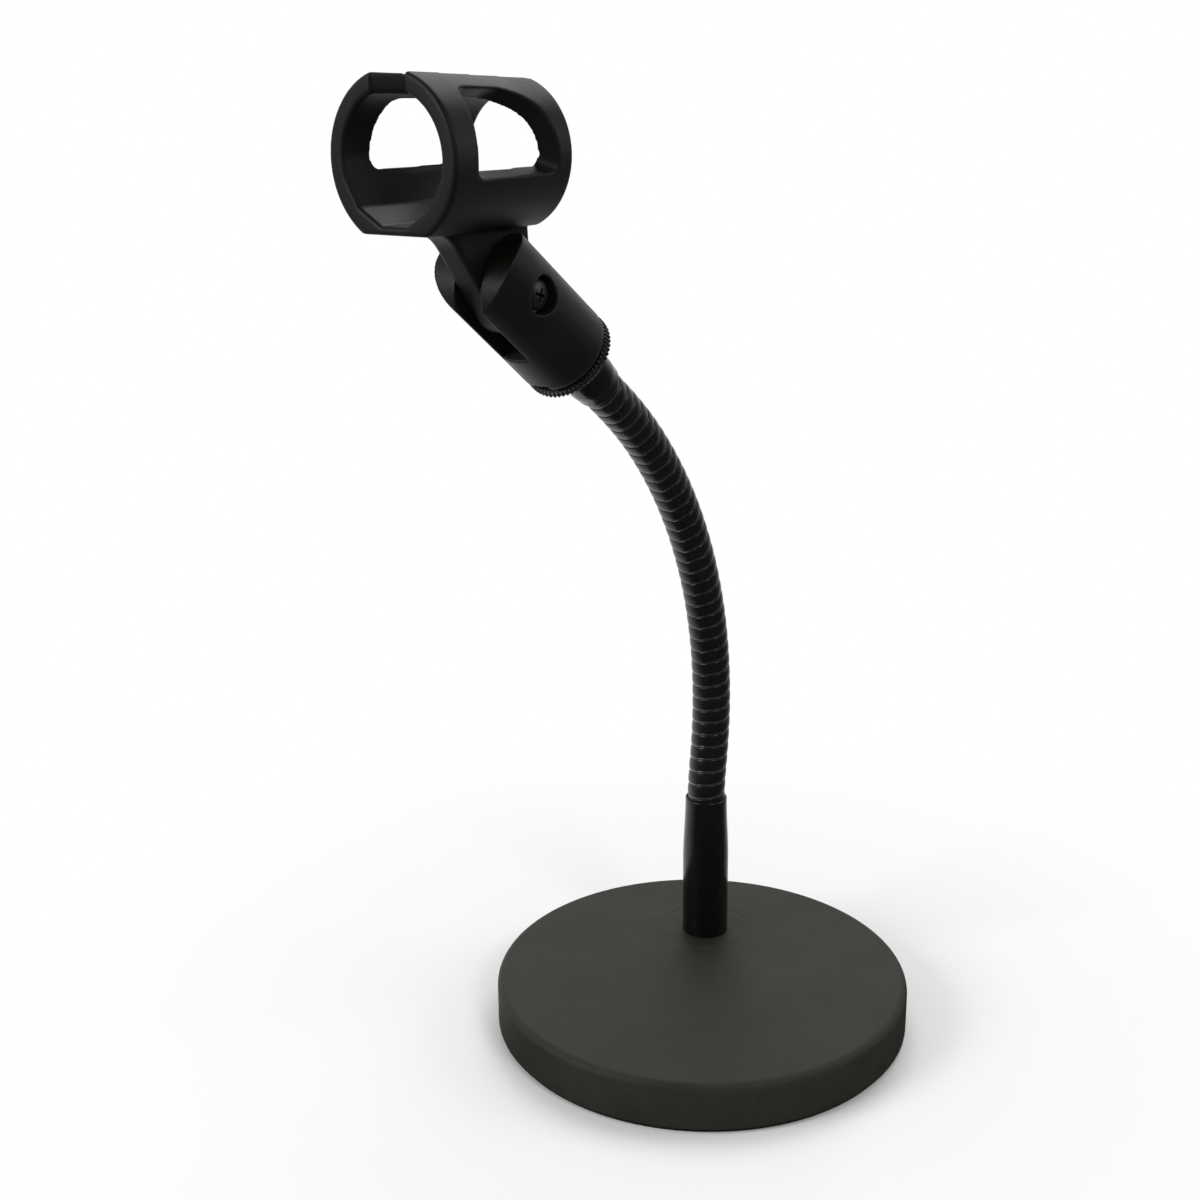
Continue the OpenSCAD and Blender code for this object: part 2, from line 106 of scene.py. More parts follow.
def finish(name, dark, light, rough, grain, relief, metallic=0.0, specular=0.5, wear_and_highlight=None,
           edge=0.4 * mm):
    """A finish that drifts from dark to light and over a range of roughness, with a fine grain of
    that size and relief, and with its edges lightened to a given colour: partly rubbed wear and
    partly a painted highlight along the edges."""
    material = bpy.data.materials.new(name)
    material.use_nodes = True
    tree = material.node_tree
    tree.nodes.clear()
    spot = add(tree, "TexCoord").outputs["Object"]
    drift = add(tree, "TexNoise", {"Vector": spot, "Scale": 55.0, "Detail": 6.0, "Roughness": 0.65})
    speck = add(tree, "TexNoise", {"Vector": spot, "Scale": 1 / grain, "Detail": 2.0})
    blend = add(tree, "Math", {0: drift.outputs["Fac"], 1: speck.outputs["Fac"]}, operation="MULTIPLY")
    tone = add(tree, "MapRange", {"Value": blend.outputs[0], "From Min": 0.12, "From Max": 0.42})
    colour = add(tree, "Mix", {0: tone.outputs[0], 6: (*dark, 1), 7: (*light, 1)}, data_type="RGBA")
    gloss = add(tree, "MapRange", {"Value": drift.outputs["Fac"], "From Min": 0.3, "From Max": 0.7,
                                   "To Min": rough[0], "To Max": rough[1]})
    shown, roughness = colour.outputs[2], gloss.outputs[0]
    # Lighter edges: partly rubbed wear, partly a painted highlight laid along every rounded edge
    if wear_and_highlight:
        round_edge = add(tree, "Bevel", {"Radius": edge}, samples=4)
        flat = add(tree, "NewGeometry")
        turn = add(tree, "VectorMath", {0: round_edge.outputs[0], 1: flat.outputs["Normal"]},
                   operation="DOT_PRODUCT")
        rub_and_highlight_mask = add(tree, "MapRange", {"Value": turn.outputs["Value"], "From Min": 0.995,
                                        "From Max": 0.86})
        patchy_rub_and_highlight = add(tree, "Math", {0: rub_and_highlight_mask.outputs[0], 1: drift.outputs["Fac"]},
                     operation="MULTIPLY")
        rubbed_and_highlit = add(tree, "Mix", {0: patchy_rub_and_highlight.outputs[0], 6: shown, 7: (*wear_and_highlight, 1)}, data_type="RGBA")
        shown = rubbed_and_highlit.outputs[2]
    bump = add(tree, "Bump", {"Height": speck.outputs["Fac"], "Distance": relief, "Strength": 1.0})
    shader = add(tree, "BsdfPrincipled", {
        "Base Color": shown, "Roughness": roughness, "Metallic": metallic,
        "Specular IOR Level": specular, "Normal": bump.outputs[0]})
    add(tree, "OutputMaterial", {"Surface": shader.outputs[0]})
    return material


def placed(piece, material, slot, body, *nodes):
    """Gives a piece its material and body, and names the solids that it stands for; its slot is not
    used.
    """
    piece.data.materials.clear()
    piece.data.materials.append(material)
    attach(piece, body)
    if nodes:
        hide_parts(*nodes)


base_low, base_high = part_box("base_casting")
stem_low, stem_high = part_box("lower_ferrule")
stem = ((stem_low.x + stem_high.x) / 2, (stem_low.y + stem_high.y) / 2)
base_r = base_high.x
edge_r = 2.5 * mm
lower_r = 1 * mm
ring_r = 15 * mm
ring_w = 0.5 * mm
ring_depth = 0.12 * mm
bolt_hole_r = 4.25 * mm
recess_r = 9.5 * mm
recess_top = 9.2 * mm

# Its edges are lightened: rubbed wear and a painted highlight
powder_coat = finish("powder_coat", (0.0195, 0.0188, 0.0142), (0.031, 0.0298, 0.0228), (0.50, 0.64),
                     grain=0.35 * mm, relief=0.035 * mm, specular=0.2, wear_and_highlight=(0.06, 0.058, 0.048))

bm = bmesh.new()
top, bottom = base_high.z, base_low.z
turned(bm, [(base_r - edge_r - 3 * mm, top), (base_r - edge_r - 0.4 * mm, top)]
       + arc(base_r - edge_r, top - edge_r, edge_r, 90, 0, 12)
       + arc(base_r - lower_r, bottom + lower_r, lower_r, 0, -90)
       + [(base_r - lower_r - 1 * mm, bottom)])
turned(bm, [(ring_r + 2 * mm, top), (ring_r + ring_w, top), (ring_r, top - ring_depth),
            (ring_r - ring_w, top), (ring_r - 2 * mm, top), (bolt_hole_r, top),
            (bolt_hole_r, recess_top), (recess_r, recess_top), (recess_r, bottom),
            (recess_r + 1 * mm, bottom)], stem)
rims = [e for e in bm.edges if e.is_boundary]
for level in (top, bottom):
    rim = [e for e in rims if abs(e.verts[0].co.z - level) < 0.1 * mm]
    bmesh.ops.triangle_fill(bm, edges=rim, use_beauty=True)
base_casting = made(bm, "base_casting_coated")
placed(base_casting, powder_coat, "base", "base", "base_casting")


# ---- Foot pad and stem fastening -------------------------------------------------------------
# A thin rubber disc is glued under the casting. A zinc-plated bolt with a split washer and a flat
# washer comes up through the casting and screws into the foot of the ferrule.

def dress(node, material):
    """Gives a CAD solid that keeps its shape its own finish."""
    solid = frame["nodes"][node]
    solid.data.materials.clear()
    solid.data.materials.append(material)


rubber = finish("rubber", (0.006, 0.006, 0.006), (0.014, 0.014, 0.013), (0.75, 0.9),
                grain=0.6 * mm, relief=0.06 * mm)
# Its edges are lightened: rubbed wear and a painted highlight
zinc = finish("zinc_plating", (0.42, 0.43, 0.44), (0.60, 0.61, 0.62), (0.25, 0.42),
              grain=0.8 * mm, relief=0.01 * mm, metallic=1.0, wear_and_highlight=(0.7, 0.7, 0.7))
dress("foot_pad", rubber)
for piece in ("stem_bolt", "stem_washer", "stem_lock_washer"):
    dress(piece, zinc)


# ---- Lower ferrule ---------------------------------------------------------------------------
# A steel tube in gloss black enamel. Its foot is straight and stands on the casting, and its
# upper part is swaged in to a thin bright rim that holds the end of the gooseneck.

def eased(t):
    """A share from 0 to 1 that starts and ends gently."""
    return t * t * (3 - 2 * t)


def ferrule(radius, length, swage, rim_r, bore_r, seat, foot_r, reach):
    """Outline of a ferrule that narrows towards its rim, with its bore and its bolt hole."""
    lip = 0.35 * mm
    steps = 10
    neck = [(radius + (rim_r - radius) * eased(i / steps), length - lip - swage * (1 - i / steps))
            for i in range(steps + 1)]
    return ([(0, length - seat), (bore_r, length - seat), (bore_r, length - lip)]
            + [(bore_r + 0.15 * mm, length)]
            + arc(rim_r - lip, length - lip, lip, 80, 10, 5)
            + neck[::-1] + arc(radius - lip, lip, lip, 0, -90, 4)
            + [(foot_r, 0), (foot_r, reach), (0, reach)])


ferrule_r = (stem_high.x - stem_low.x) / 2
ferrule_len = stem_high.z - stem_low.z
wire_seat = 9.5 * mm
rim_r = 6.75 * mm
bore_r = 6.15 * mm

# Its edges are lightened: rubbed wear and a painted highlight
enamel = finish("gloss_enamel", (0.0025, 0.0025, 0.0023), (0.0045, 0.0045, 0.004), (0.16, 0.24),
                grain=2.5 * mm, relief=0.012 * mm, specular=0.45, wear_and_highlight=(0.012, 0.012, 0.011))

bm = bmesh.new()
turned(bm, ferrule(ferrule_r, ferrule_len, 22 * mm, rim_r, bore_r, wire_seat, 4.05 * mm, 15 * mm),
       steps=96)
lower_ferrule = made(bm, "lower_ferrule_enamelled", Matrix.Translation((*stem, base_high.z)))
placed(lower_ferrule, enamel, "ferrule", "base", "lower_ferrule")


# ---- Gooseneck -------------------------------------------------------------------------------
# Two steel wires wound together: a black crowned band outside, and a round spring wire inside
# that shows as a bright line between its turns. They slide on each other, so the neck bends;
# here only the foot and the tip are hung on bodies, and the stretches between stay fixed.

joints = {joint["name"]: joint for joint in frame["joints"]}
turn_at = Vector(joints["swivel_turn"]["pos_m"])
neck_axis = Vector(joints["swivel_turn"]["axis"]).normalized()
head = Matrix.Translation(turn_at) @ Matrix.Rotation(atan2(-neck_axis.y, neck_axis.z), 4, "X")
flange_gap = 0.3 * mm
top_ferrule_len = 15.5 * mm
neck_end = head @ Vector((0, 0, -top_ferrule_len - flange_gap))
bending = [joint for joint in frame["joints"] if joint["name"].startswith("neck_")]

# The centreline: a smooth curve from the lower rim through every bending joint to the upper rim,
# which runs straight on past both
run_on = 12 * mm
knots = np.array([(*stem, stem_high.z)] + [joint["pos_m"] for joint in bending] + [tuple(neck_end)])
gaps = np.linalg.norm(np.diff(knots, axis=0), axis=1)
rates = np.diff(knots, axis=0) / gaps[:, None]
system = np.eye(len(knots))
aims = np.zeros_like(knots)
aims[0] = (0, 0, 1)
aims[-1] = neck_axis
for i in range(1, len(knots) - 1):
    system[i, i - 1:i + 2] = gaps[i], 2 * (gaps[i - 1] + gaps[i]), gaps[i - 1]
    aims[i] = 3 * (gaps[i] * rates[i - 1] + gaps[i - 1] * rates[i])
slopes = np.linalg.solve(system, aims)

steps_a_span = 40
points = [knots[0] - run_on * aims[0]]
for i, gap in enumerate(gaps):
    for t in np.arange(0, 1, 1 / steps_a_span):
        points.append(knots[i] * (1 + 2 * t) * (1 - t) ** 2 + slopes[i] * gap * t * (1 - t) ** 2
                      + knots[i + 1] * t * t * (3 - 2 * t) + slopes[i + 1] * gap * t * t * (t - 1))
points += [knots[-1], knots[-1] + run_on * aims[-1]]
points = np.array(points)
run = np.concatenate([[0], np.cumsum(np.linalg.norm(np.diff(points, axis=0), axis=1))]) - run_on
course = np.gradient(points, run, axis=0)
lean = np.arctan2(-course[:, 1], course[:, 2])
joint_runs = [float(run[1 + steps_a_span * (i + 1)]) for i in range(len(bending))]
neck_run = float(run[-2])


def follow_neck(piece):
    """Bends a straight mesh, wound round the vertical, along the centreline."""
    mesh = piece.data
    co = np.zeros(len(mesh.vertices) * 3)
    mesh.vertices.foreach_get("co", co)
    x, y, s = co.reshape(-1, 3).T
    tilt = np.interp(s, run, lean)
    bent = np.array([stem[0] + x, np.interp(s, run, points[:, 1]) + y * np.cos(tilt),
                     np.interp(s, run, points[:, 2]) + y * np.sin(tilt)]).T
    mesh.vertices.foreach_set("co", bent.ravel())
    mesh.update()


pitch = 4.276 * mm
band_w = 3.84 * mm
crown_r = 6.09 * mm
brow_r = 5.98 * mm
brow_round = 0.36 * mm
back_r = 4.4 * mm
back_taper = 0.3 * mm
spring_wire_r = 0.85 * mm
spring_out_r = 5.78 * mm
hidden = 6 * mm
round_steps = 12

# The band's crown, its two rounded brows and its flat back
brow_at = band_w / 2 - brow_round
across = [i / 4 for i in range(-4, 5)]
upper_brow = arc(brow_r - brow_round, brow_at, brow_round, 20, 90, 4)
band_section = ([(crown_r - (crown_r - brow_r) * t * t, t * brow_at) for t in across] + upper_brow
                + [(back_r, band_w / 2 - back_taper), (back_r, -band_w / 2 + back_taper)]
                + [(r, -z) for r, z in upper_brow[::-1]])
spring_centre = spring_out_r - spring_wire_r
spring_section = [(spring_centre + spring_wire_r * cos(tau * i / round_steps),
                   pitch / 2 + spring_wire_r * sin(tau * i / round_steps))
                  for i in range(round_steps)]


def wound(name, section, low, high, steps_a_turn=80):
    """Winds a closed (radius, height) section into a helix between two heights, along the neck."""
    start = tau * low / pitch
    steps = round((high - low) / pitch * steps_a_turn)
    bm = bmesh.new()
    ring = bm.faces.new([bm.verts.new((r * cos(start), r * sin(start), low + z)) for r, z in section])
    bmesh.ops.spin(bm, geom=[ring], cent=(0, 0, 0), axis=(0, 0, 1), dvec=(0, 0, (high - low) / steps),
                   angle=tau * (high - low) / pitch, steps=steps)
    piece = made(bm, name, sharp=50)
    follow_neck(piece)
    return piece


# Its edges are lightened: rubbed wear and a painted highlight
wire_black = finish("black_wire", (0.0028, 0.0028, 0.0026), (0.0055, 0.0055, 0.005), (0.24, 0.34),
                    grain=1.2 * mm, relief=0.02 * mm, specular=0.5, wear_and_highlight=(0.02, 0.02, 0.018),
                    edge=0.2 * mm)
spring_steel = finish("spring_wire", (0.13, 0.13, 0.12), (0.25, 0.25, 0.23), (0.18, 0.28),
                      grain=0.8 * mm, relief=0.01 * mm, metallic=0.9)

# Each stretch runs from the middle of one group of turns to the middle of the next, over a joint
ends = [0.0] + joint_runs + [neck_run]
cuts = [(a + b) / 2 for a, b in zip(ends, ends[1:])]
for wire, section, material, slot, node in (
        ("outer_wire", band_section, wire_black, "band", "outer_wire"),
        ("spring_wire", spring_section, spring_steel, "spring", "inner_spring")):
    foot = wound(wire + "_foot", section, -hidden, cuts[0])
    placed(foot, material, slot, "base", node + "_1")
    for k, joint in enumerate(bending):
        stretch = wound(f"{wire}_stretch_{k + 1}", section, cuts[k], cuts[k + 1])
        stretch.data.materials.append(material)
        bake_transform(stretch)
        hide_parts(f"{node}_{k + 2}")
    tip = wound(wire + "_tip", section, cuts[-1], neck_run + hidden)
    placed(tip, material, slot, "neck_head")


# ---- Upper ferrule and threaded stud ---------------------------------------------------------
# A short enamelled tube closes the gooseneck's upper end, with its narrow rim downwards. A steel
# stud is fixed in it, and carries the thread that the swivel turns on.

def hung(outline):
    """An outline turned upside down, with its foot at the height 0."""
    return [(r, -z) for r, z in outline]


top_low, top_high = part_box("upper_ferrule")
top_ferrule_r = (top_high.x - top_low.x) / 2

bm = bmesh.new()
turned(bm, hung(ferrule(top_ferrule_r, top_ferrule_len, 5 * mm, rim_r, bore_r, wire_seat,
                        4 * mm, 5 * mm)), steps=96)
upper_ferrule = made(bm, "upper_ferrule_enamelled", head @ Matrix.Translation((0, 0, -flange_gap)))
placed(upper_ferrule, enamel, "ferrule", "neck_head", "upper_ferrule")

# Its edges are lightened: rubbed wear and a painted highlight
black_steel = finish("blacked_steel", (0.006, 0.006, 0.006), (0.018, 0.018, 0.016), (0.28, 0.42),
                     grain=0.5 * mm, relief=0.015 * mm, metallic=0.4, wear_and_highlight=(0.12, 0.12, 0.11),
                     edge=0.25 * mm)
dress("threaded_stud", black_steel)


# ---- Thread adaptor --------------------------------------------------------------------------
# A blacked metal bush moulded into the swivel. Its flange stands out below the barrel, and has
# coarse square ridges for the fingers that screw it onto the stud.

flange_r = 13 * mm
flange_t = 2.4 * mm
flange_bevel = 0.35 * mm
ridges = 60
ridge_depth = 0.42 * mm
ridge_steps = 6
sleeve_r = 9.5 * mm
sleeve_len = 11.5 * mm
thread_r = 7.95 * mm
thread_lead = 0.4 * mm

bm = bmesh.new()
turned(bm, [(thread_r + thread_lead, 0), (flange_r - ridge_depth - flange_bevel, 0),
            (flange_r, flange_bevel), (flange_r, flange_t - flange_bevel),
            (flange_r - ridge_depth - flange_bevel, flange_t), (sleeve_r, flange_t),
            (sleeve_r, flange_t + sleeve_len), (thread_r, flange_t + sleeve_len),
            (thread_r, thread_lead), (thread_r + thread_lead, 0)], steps=ridges * ridge_steps)
for vert in bm.verts:
    if vert.co.xy.length > flange_r - 0.1 * mm:
        step = round(atan2(vert.co.y, vert.co.x) / tau * ridges * ridge_steps) % ridge_steps
        if step >= ridge_steps / 2:
            vert.co.xy *= 1 - ridge_depth / flange_r
adaptor = made(bm, "thread_adaptor_knurled", head, sharp=30)
placed(adaptor, black_steel, "adaptor", "swivel", "thread_adaptor")


# ---- Swivel ----------------------------------------------------------------------------------
# A moulded nylon barrel with a soft lower edge, slotted to leave two ears, round about the pivot,
# for the holder's tongue. One ear has a round recess for the screw's head, the other a hexagon.

def box_tool(low, high):
    """A loose block between two corners."""
    bm = bmesh.new()
    low, high = Vector(low), Vector(high)
    bmesh.ops.create_cube(bm, size=1, matrix=Matrix.Translation((low + high) / 2)
                          @ Matrix.Diagonal((*(high - low), 1)))
    return made(bm, "tool")


def pin_tool(radius, low, high, sides=64):
    """A loose pin along X, from one place to another."""
    bm = bmesh.new()
    bmesh.ops.create_cone(bm, cap_ends=True, segments=sides, radius1=radius, radius2=radius,
                          depth=high - low)
    along_x = Matrix.Translation(((low + high) / 2, 0, 0)) @ Matrix.Rotation(pi / 2, 4, "Y")
    return made(bm, "tool", along_x)


def settle(piece):
    """Applies a piece's modifiers to its mesh."""
    graph = bpy.context.evaluated_depsgraph_get()
    mesh = bpy.data.meshes.new_from_object(piece.evaluated_get(graph))
    piece.modifiers.clear()
    piece.data = mesh


def cut(piece, tool, place=Matrix(), how="DIFFERENCE"):
    """Cuts a loose tool out of a piece, or joins it to the piece, and removes the tool."""
    tool.data.transform(place)
    modifier = piece.modifiers.new("cut", "BOOLEAN")
    modifier.operation = how
    modifier.solver = "MANIFOLD"
    modifier.object = tool
    settle(piece)
    bpy.data.objects.remove(tool)


def moulded(piece, voxel, soften):
    """Gives a carved piece an even skin with the small round edges of a moulding."""
    modifier = piece.modifiers.new("skin", "REMESH")
    modifier.mode = "VOXEL"
    modifier.voxel_size = voxel
    modifier.use_smooth_shade = True
    modifier = piece.modifiers.new("soften", "SMOOTH")
    modifier.factor = 0.5
    modifier.iterations = soften
    settle(piece)


barrel_low_r = 13 * mm
barrel_top_r = 12.7 * mm
barrel_round = 2.5 * mm
pivot_rise = 29 * mm
ear_r = 15.2 * mm
slot_half = 4.15 * mm
slot_depth = 12.8 * mm
ear_web = 3.9 * mm
head_recess_r = 5 * mm
nut_pocket_r = 4.1 * mm
pivot_hole_r = 2.05 * mm
notch_half = 2.5 * mm
notch_h = 3.4 * mm
barrel_len = pivot_rise + ear_r
clear = 20 * mm

# Its edges are lightened: rubbed wear and a painted highlight
nylon = finish("nylon", (0.0046, 0.0043, 0.0031), (0.0085, 0.0079, 0.0058), (0.38, 0.48),
               grain=0.28 * mm, relief=0.02 * mm, specular=0.2, wear_and_highlight=(0.03, 0.03, 0.027))

bm = bmesh.new()
turned(bm, [(0, 0)] + arc(barrel_low_r - barrel_round, barrel_round, barrel_round, -90, 0, 8)
       + [(barrel_low_r - 0.1 * mm, 12 * mm), (barrel_top_r, barrel_len), (0, barrel_len)], steps=160)
swivel = made(bm, "swivel_barrel")
at_pivot = Matrix.Translation((0, 0, pivot_rise))
ear_shape = pin_tool(ear_r, -clear, clear, 128)
cut(ear_shape, box_tool((-clear, -clear, -clear - pivot_rise), (clear, clear, 0)), how="UNION")
cut(swivel, ear_shape, at_pivot, how="INTERSECT")
cut(swivel, box_tool((-slot_half, -clear, pivot_rise - slot_depth), (slot_half, clear, 60 * mm)))
cut(swivel, box_tool((-notch_half, -clear, -1 * mm), (notch_half, -sleeve_r - 1.2 * mm, notch_h)))
bm = bmesh.new()
turned(bm, [(0, -1 * mm), (sleeve_r, -1 * mm), (sleeve_r, sleeve_len + 0.2 * mm),
            (0, sleeve_len + 0.2 * mm)], steps=96)
cut(swivel, made(bm, "tool"))
cut(swivel, pin_tool(pivot_hole_r, -clear, clear, 32), at_pivot)
cut(swivel, pin_tool(head_recess_r, slot_half + ear_web, clear), at_pivot)
cut(swivel, pin_tool(nut_pocket_r, -clear, -slot_half - ear_web, 6), at_pivot)
moulded(swivel, 0.33 * mm, 6)
swivel.data.transform(head @ Matrix.Translation((0, 0, flange_t)))
placed(swivel, nylon, "swivel", "swivel", "swivel_body")


# ---- Pivot screw, washer and nut -------------------------------------------------------------
# A blacked pan-head screw with a crossed recess goes through both ears and the tongue, and
# clamps them on a washer and a plain nut that the hexagon pocket keeps from turning.

screw_r = 2 * mm
pan_r = 4 * mm
pan_h = 2.6 * mm
pan_rim = 1.1 * mm
pan_chamfer = 0.25 * mm
screw_point = 0.4 * mm
washer_t = 0.6 * mm
cross_w = 1.05 * mm
cross_len = 4.6 * mm
cross_depth = 1.7 * mm
cross_turn = 20
shank = 2 * (slot_half + ear_web) + washer_t + 3.8 * mm

bm = bmesh.new()
turned(bm, [(0, -shank), (screw_r - screw_point, -shank), (screw_r, -shank + screw_point),
            (screw_r, 0), (pan_r - pan_chamfer, 0), (pan_r, pan_chamfer), (pan_r, pan_rim)]
       + [(pan_r * cos(a), pan_rim + (pan_h - pan_rim) * sin(a))
          for a in (radians(12 * i) for i in range(1, 8))] + [(0, pan_h)], steps=64)
screw = made(bm, "pivot_screw_pan_head")
for side in (0, 90):
    bm = bmesh.new()
    bmesh.ops.create_cone(bm, cap_ends=True, segments=4, radius1=cross_w / sqrt(2) * 0.7,
                          radius2=cross_w / sqrt(2), depth=cross_depth + 1 * mm)
    turn = Matrix.Rotation(radians(cross_turn + side), 4, "Z")
    shape = turn @ Matrix.Diagonal((cross_len / cross_w, 1, 1, 1)) @ Matrix.Rotation(pi / 4, 4, "Z")
    tool = made(bm, "tool", Matrix.Translation((0, 0, pan_h - cross_depth / 2 + 0.5 * mm)) @ shape)
    cut(screw, tool)
pivot = head @ Matrix.Translation((0, 0, flange_t + pivot_rise))
screw.data.transform(pivot @ Matrix.Translation((slot_half + ear_web + washer_t, 0, 0))
                     @ Matrix.Rotation(pi / 2, 4, "Y"))
screw.data.shade_smooth()
screw.data.set_sharp_from_angle(angle=radians(35))
placed(screw, black_steel, "screw", "swivel", "pivot_screw")
dress("pivot_washer", zinc)
dress("pivot_nut", zinc)


# ---- Microphone holder -----------------------------------------------------------------------
# One moulding in tough black nylon: a tapered ring, slit along the top and with a window in each
# side so that it springs open, a seat of flat facets inside, and a tongue below that is clamped.

def prism(points, half, lay, soft):
    """A loose slab with that outline, of twice that half thickness, with soft edges round its two
    faces, laid by a matrix."""
    bm = bmesh.new()
    face = bm.faces.new([bm.verts.new((x, y, -half)) for x, y in points])
    grown = bmesh.ops.extrude_face_region(bm, geom=[face])
    lifted = [v for v in grown["geom"] if isinstance(v, bmesh.types.BMVert)]
    bmesh.ops.translate(bm, vec=(0, 0, 2 * half), verts=lifted)
    rims = [e for e in bm.edges if abs(e.verts[0].co.z - e.verts[1].co.z) < half]
    bmesh.ops.bevel(bm, geom=rims, offset=soft, affect="EDGES", segments=3, profile=0.5, material=-1)
    return made(bm, "tool", lay)


mouth_r = 20.3 * mm
rear_r = 18.8 * mm
grip_r = 15.7 * mm
rear_bore_r = 14.6 * mm
holder_len = 44.2 * mm
grip_len = 8 * mm
holder_rise = 34.1 * mm
holder_set = -4.4 * mm
slit_half = 5.5 * mm
underside = 16.8 * mm
tongue_half_t = 4 * mm
tongue_tip_r = 10.4 * mm
tongue_half_w = 7.7 * mm
heel_in = 2.5 * mm
sink = 2 * mm
front_slope = 54
root_r = 12 * mm
tongue_round = 1 * mm
small_r = 2.5 * mm
big_r = 9 * mm
rim_round = 0.9 * mm
mouth_y = -(holder_set + holder_len)

# Its edges are lightened: rubbed wear and a painted highlight
holder_nylon = finish("holder_nylon", (0.0046, 0.0044, 0.0034), (0.0078, 0.0074, 0.0057),
                      (0.40, 0.50), grain=0.3 * mm, relief=0.022 * mm, specular=0.16,
                      wear_and_highlight=(0.035, 0.035, 0.032))

# The ring, lathed round its own axis with its mouth at the height 0
bm = bmesh.new()
turned(bm, [(0, 0), (mouth_r - rim_round, 0)] + arc(mouth_r - rim_round, rim_round, rim_round, -75, 0, 5)
       + arc(rear_r - rim_round, holder_len - rim_round, rim_round, 0, 90, 5) + [(0, holder_len)],
       steps=180)
lie_back = Matrix.Translation((0, mouth_y, holder_rise)) @ Matrix.Rotation(-pi / 2, 4, "X")
holder = made(bm, "holder_ring_and_tongue", lie_back)

# The flat underside, then the tongue: its straight front leaves the round tip, and an arc carries
# it into the underside
cut(holder, box_tool((-30 * mm, -60 * mm, -20 * mm), (30 * mm, 20 * mm, underside)))
tip_back = -180 + degrees(acos(tongue_half_w / tongue_tip_r))
root_z = underside - root_r
root_x = (tongue_tip_r + root_r + root_z * cos(radians(front_slope))) / sin(radians(front_slope))
tongue = ([(holder_set, underside + sink), (-tongue_half_w + heel_in, tongue_half_w),
           (-tongue_half_w, 0)]
          + arc(0, 0, tongue_tip_r, tip_back, front_slope - 90, 24)
          + arc(root_x, root_z, root_r, front_slope + 90, 90, 10) + [(root_x, underside + sink)])
side_on = Matrix(((0, 0, 1, 0), (-1, 0, 0, 0), (0, 1, 0, 0), (0, 0, 0, 1)))
cut(holder, prism(tongue, tongue_half_t, side_on, tongue_round), how="UNION")

# The bore: round above, and below with the flat facets of the seat
facets = [radians(a) for a in (-165, -135, -105, -75, -45, -15)]
round_part = [radians(a) for a in range(0, 181, 4)]
bm = bmesh.new()
rings = []
for depth, r in ((-2 * mm, grip_r + 1.8 * mm), (0.7 * mm, grip_r), (grip_len, grip_r),
                 (holder_len - 0.6 * mm, rear_bore_r), (holder_len + 2 * mm, rear_bore_r + 1.5 * mm)):
    ring = [bm.verts.new((r * cos(a), mouth_y + depth, holder_rise + r * sin(a)))
            for a in round_part + facets]
    rings.append([bm.edges.new((a, b)) for a, b in zip(ring, ring[1:] + ring[:1])])
for near, far in zip(rings, rings[1:]):
    bmesh.ops.bridge_loops(bm, edges=near + far)
bmesh.ops.contextual_create(bm, geom=rings[0])
bmesh.ops.contextual_create(bm, geom=rings[-1])
cut(holder, made(bm, "tool"))

# The slit, the side windows and the pivot hole
cut(holder, box_tool((-slit_half, mouth_y - 2 * mm, holder_rise),
                     (slit_half, mouth_y + holder_len + 2 * mm, holder_rise + 30 * mm)))


def pane(near, far, low, high):
    """Outline of a side window: distances behind the mouth, and heights above the axis."""
    return (arc(near + small_r, low + small_r, small_r, 180, 270, 5)
            + arc(far - small_r, low + small_r, small_r, 270, 360, 5)
            + arc(far - big_r, high - big_r, big_r, 0, 90, 10)
            + arc(near + small_r, high - small_r, small_r, 90, 180, 5))


# Each window opens outwards: its sill and lintel slope away from the bore
inner_x, inner_pane = 8 * mm, pane(11.1 * mm, 28.6 * mm, 0.8 * mm, 13.3 * mm)
outer_x, outer_pane = 24 * mm, pane(7.5 * mm, 43.5 * mm, -6.7 * mm, 23.4 * mm)
for side in (-1, 1):
    bm = bmesh.new()
    rings = []
    for x, outline in ((inner_x, inner_pane), (outer_x, outer_pane)):
        ring = [bm.verts.new((side * x, mouth_y + u, holder_rise + z)) for u, z in outline]
        rings.append(bm.faces.new(ring))
    bmesh.ops.bridge_loops(bm, edges=[e for ring in rings for e in ring.edges])
    cut(holder, made(bm, "tool"))
cut(holder, pin_tool(pivot_hole_r, -clear, clear, 32))
moulded(holder, 0.38 * mm, 8)
holder.data.transform(Matrix.Translation(joints["holder_tilt"]["pos_m"]))
placed(holder, holder_nylon, "holder", "holder", "microphone_holder")


# ---- Studio ----------------------------------------------------------------------------------
# A plain pale floor of matt paper, which fades into a white surround away from the stand. Four
# square lamps light it softly, and the camera looks down on it from the right.

def surround(tree, way):
    """Which rays see the white surround in that direction, and how strong it is. It is white to the
    camera, and in gloss it darkens from the back left of the studio to the front right."""
    seen = add(tree, "LightPath").outputs
    rays = add(tree, "Math", {0: seen["Is Camera Ray"], 1: seen["Is Glossy Ray"]}, operation="MAXIMUM")
    rays = add(tree, "Math", {0: rays.outputs[0], 1: seen["Is Transmission Ray"]}, operation="MAXIMUM")
    front = add(tree, "VectorMath", {0: way, 1: (0.85, -0.53, 0.0)}, operation="DOT_PRODUCT")
    dim = add(tree, "MapRange", {"Value": front.outputs["Value"], "From Min": -1.0, "From Max": 0.1,
                                 "To Min": 1.0, "To Max": 0.06}, interpolation_type="SMOOTHSTEP")
    strength = add(tree, "Math", {0: dim.outputs[0], 1: seen["Is Camera Ray"]}, operation="MAXIMUM")
    return rays.outputs[0], strength.outputs[0]


